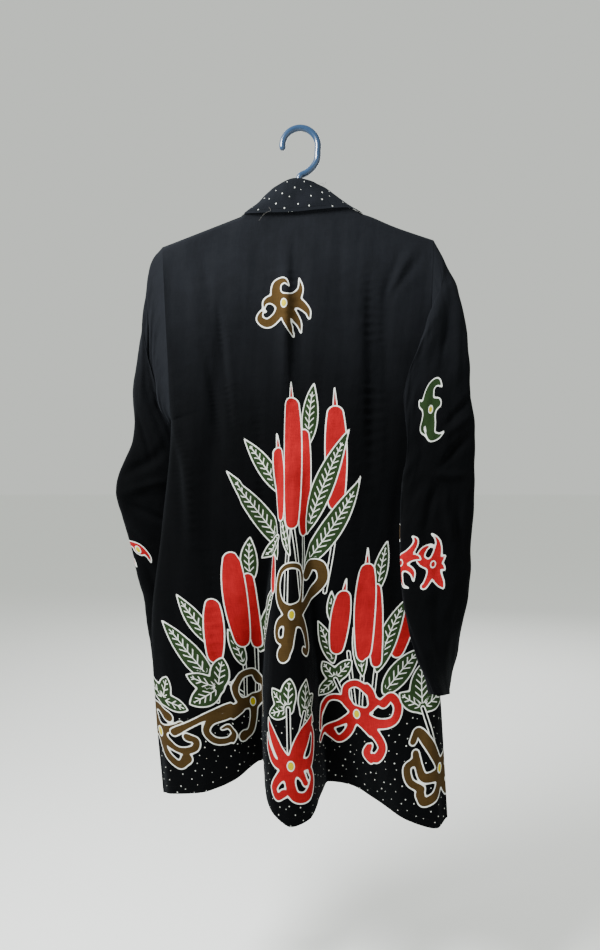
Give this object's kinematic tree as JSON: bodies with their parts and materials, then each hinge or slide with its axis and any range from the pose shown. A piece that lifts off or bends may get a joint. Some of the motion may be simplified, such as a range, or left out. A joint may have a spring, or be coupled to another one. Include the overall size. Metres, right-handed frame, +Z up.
{
  "type": "batik shirt on a hanger",
  "caption": "Open-fronted batik shirt hanging by its shoulders on a tubular plastic hanger, back outwards, with a standing dotted neckband.",
  "frame": {"origin": "the top of the hook's inside, where a nail or rail carries the hanger", "axes": "+Z up, along the hanging shirt; -Y out of the shirt's back; +X towards the wearer's right sleeve"},
  "size_m": [0.5352, 0.2013, 1.0326],
  "materials": {
    "printed_cotton": "plain-weave cotton, black ground, wax-resist reeds, leaves and scrolls in red, green and brown with white lines, white dots at the hem",
    "dotted_cotton": "plain-weave cotton, black ground with small white dots",
    "hanger_plastic": "moulded plastic tube, steel blue, smooth and glossy"
  },
  "bodies": {
    "root": {"back": "printed_cotton", "front_left": "printed_cotton", "front_right": "printed_cotton", "sleeve_left": "printed_cotton", "sleeve_right": "printed_cotton", "neckband": "dotted_cotton", "band_left": "dotted_cotton", "band_right": "dotted_cotton", "hanger": "hanger_plastic", "hook": "hanger_plastic"}
  },
  "joints": []
}
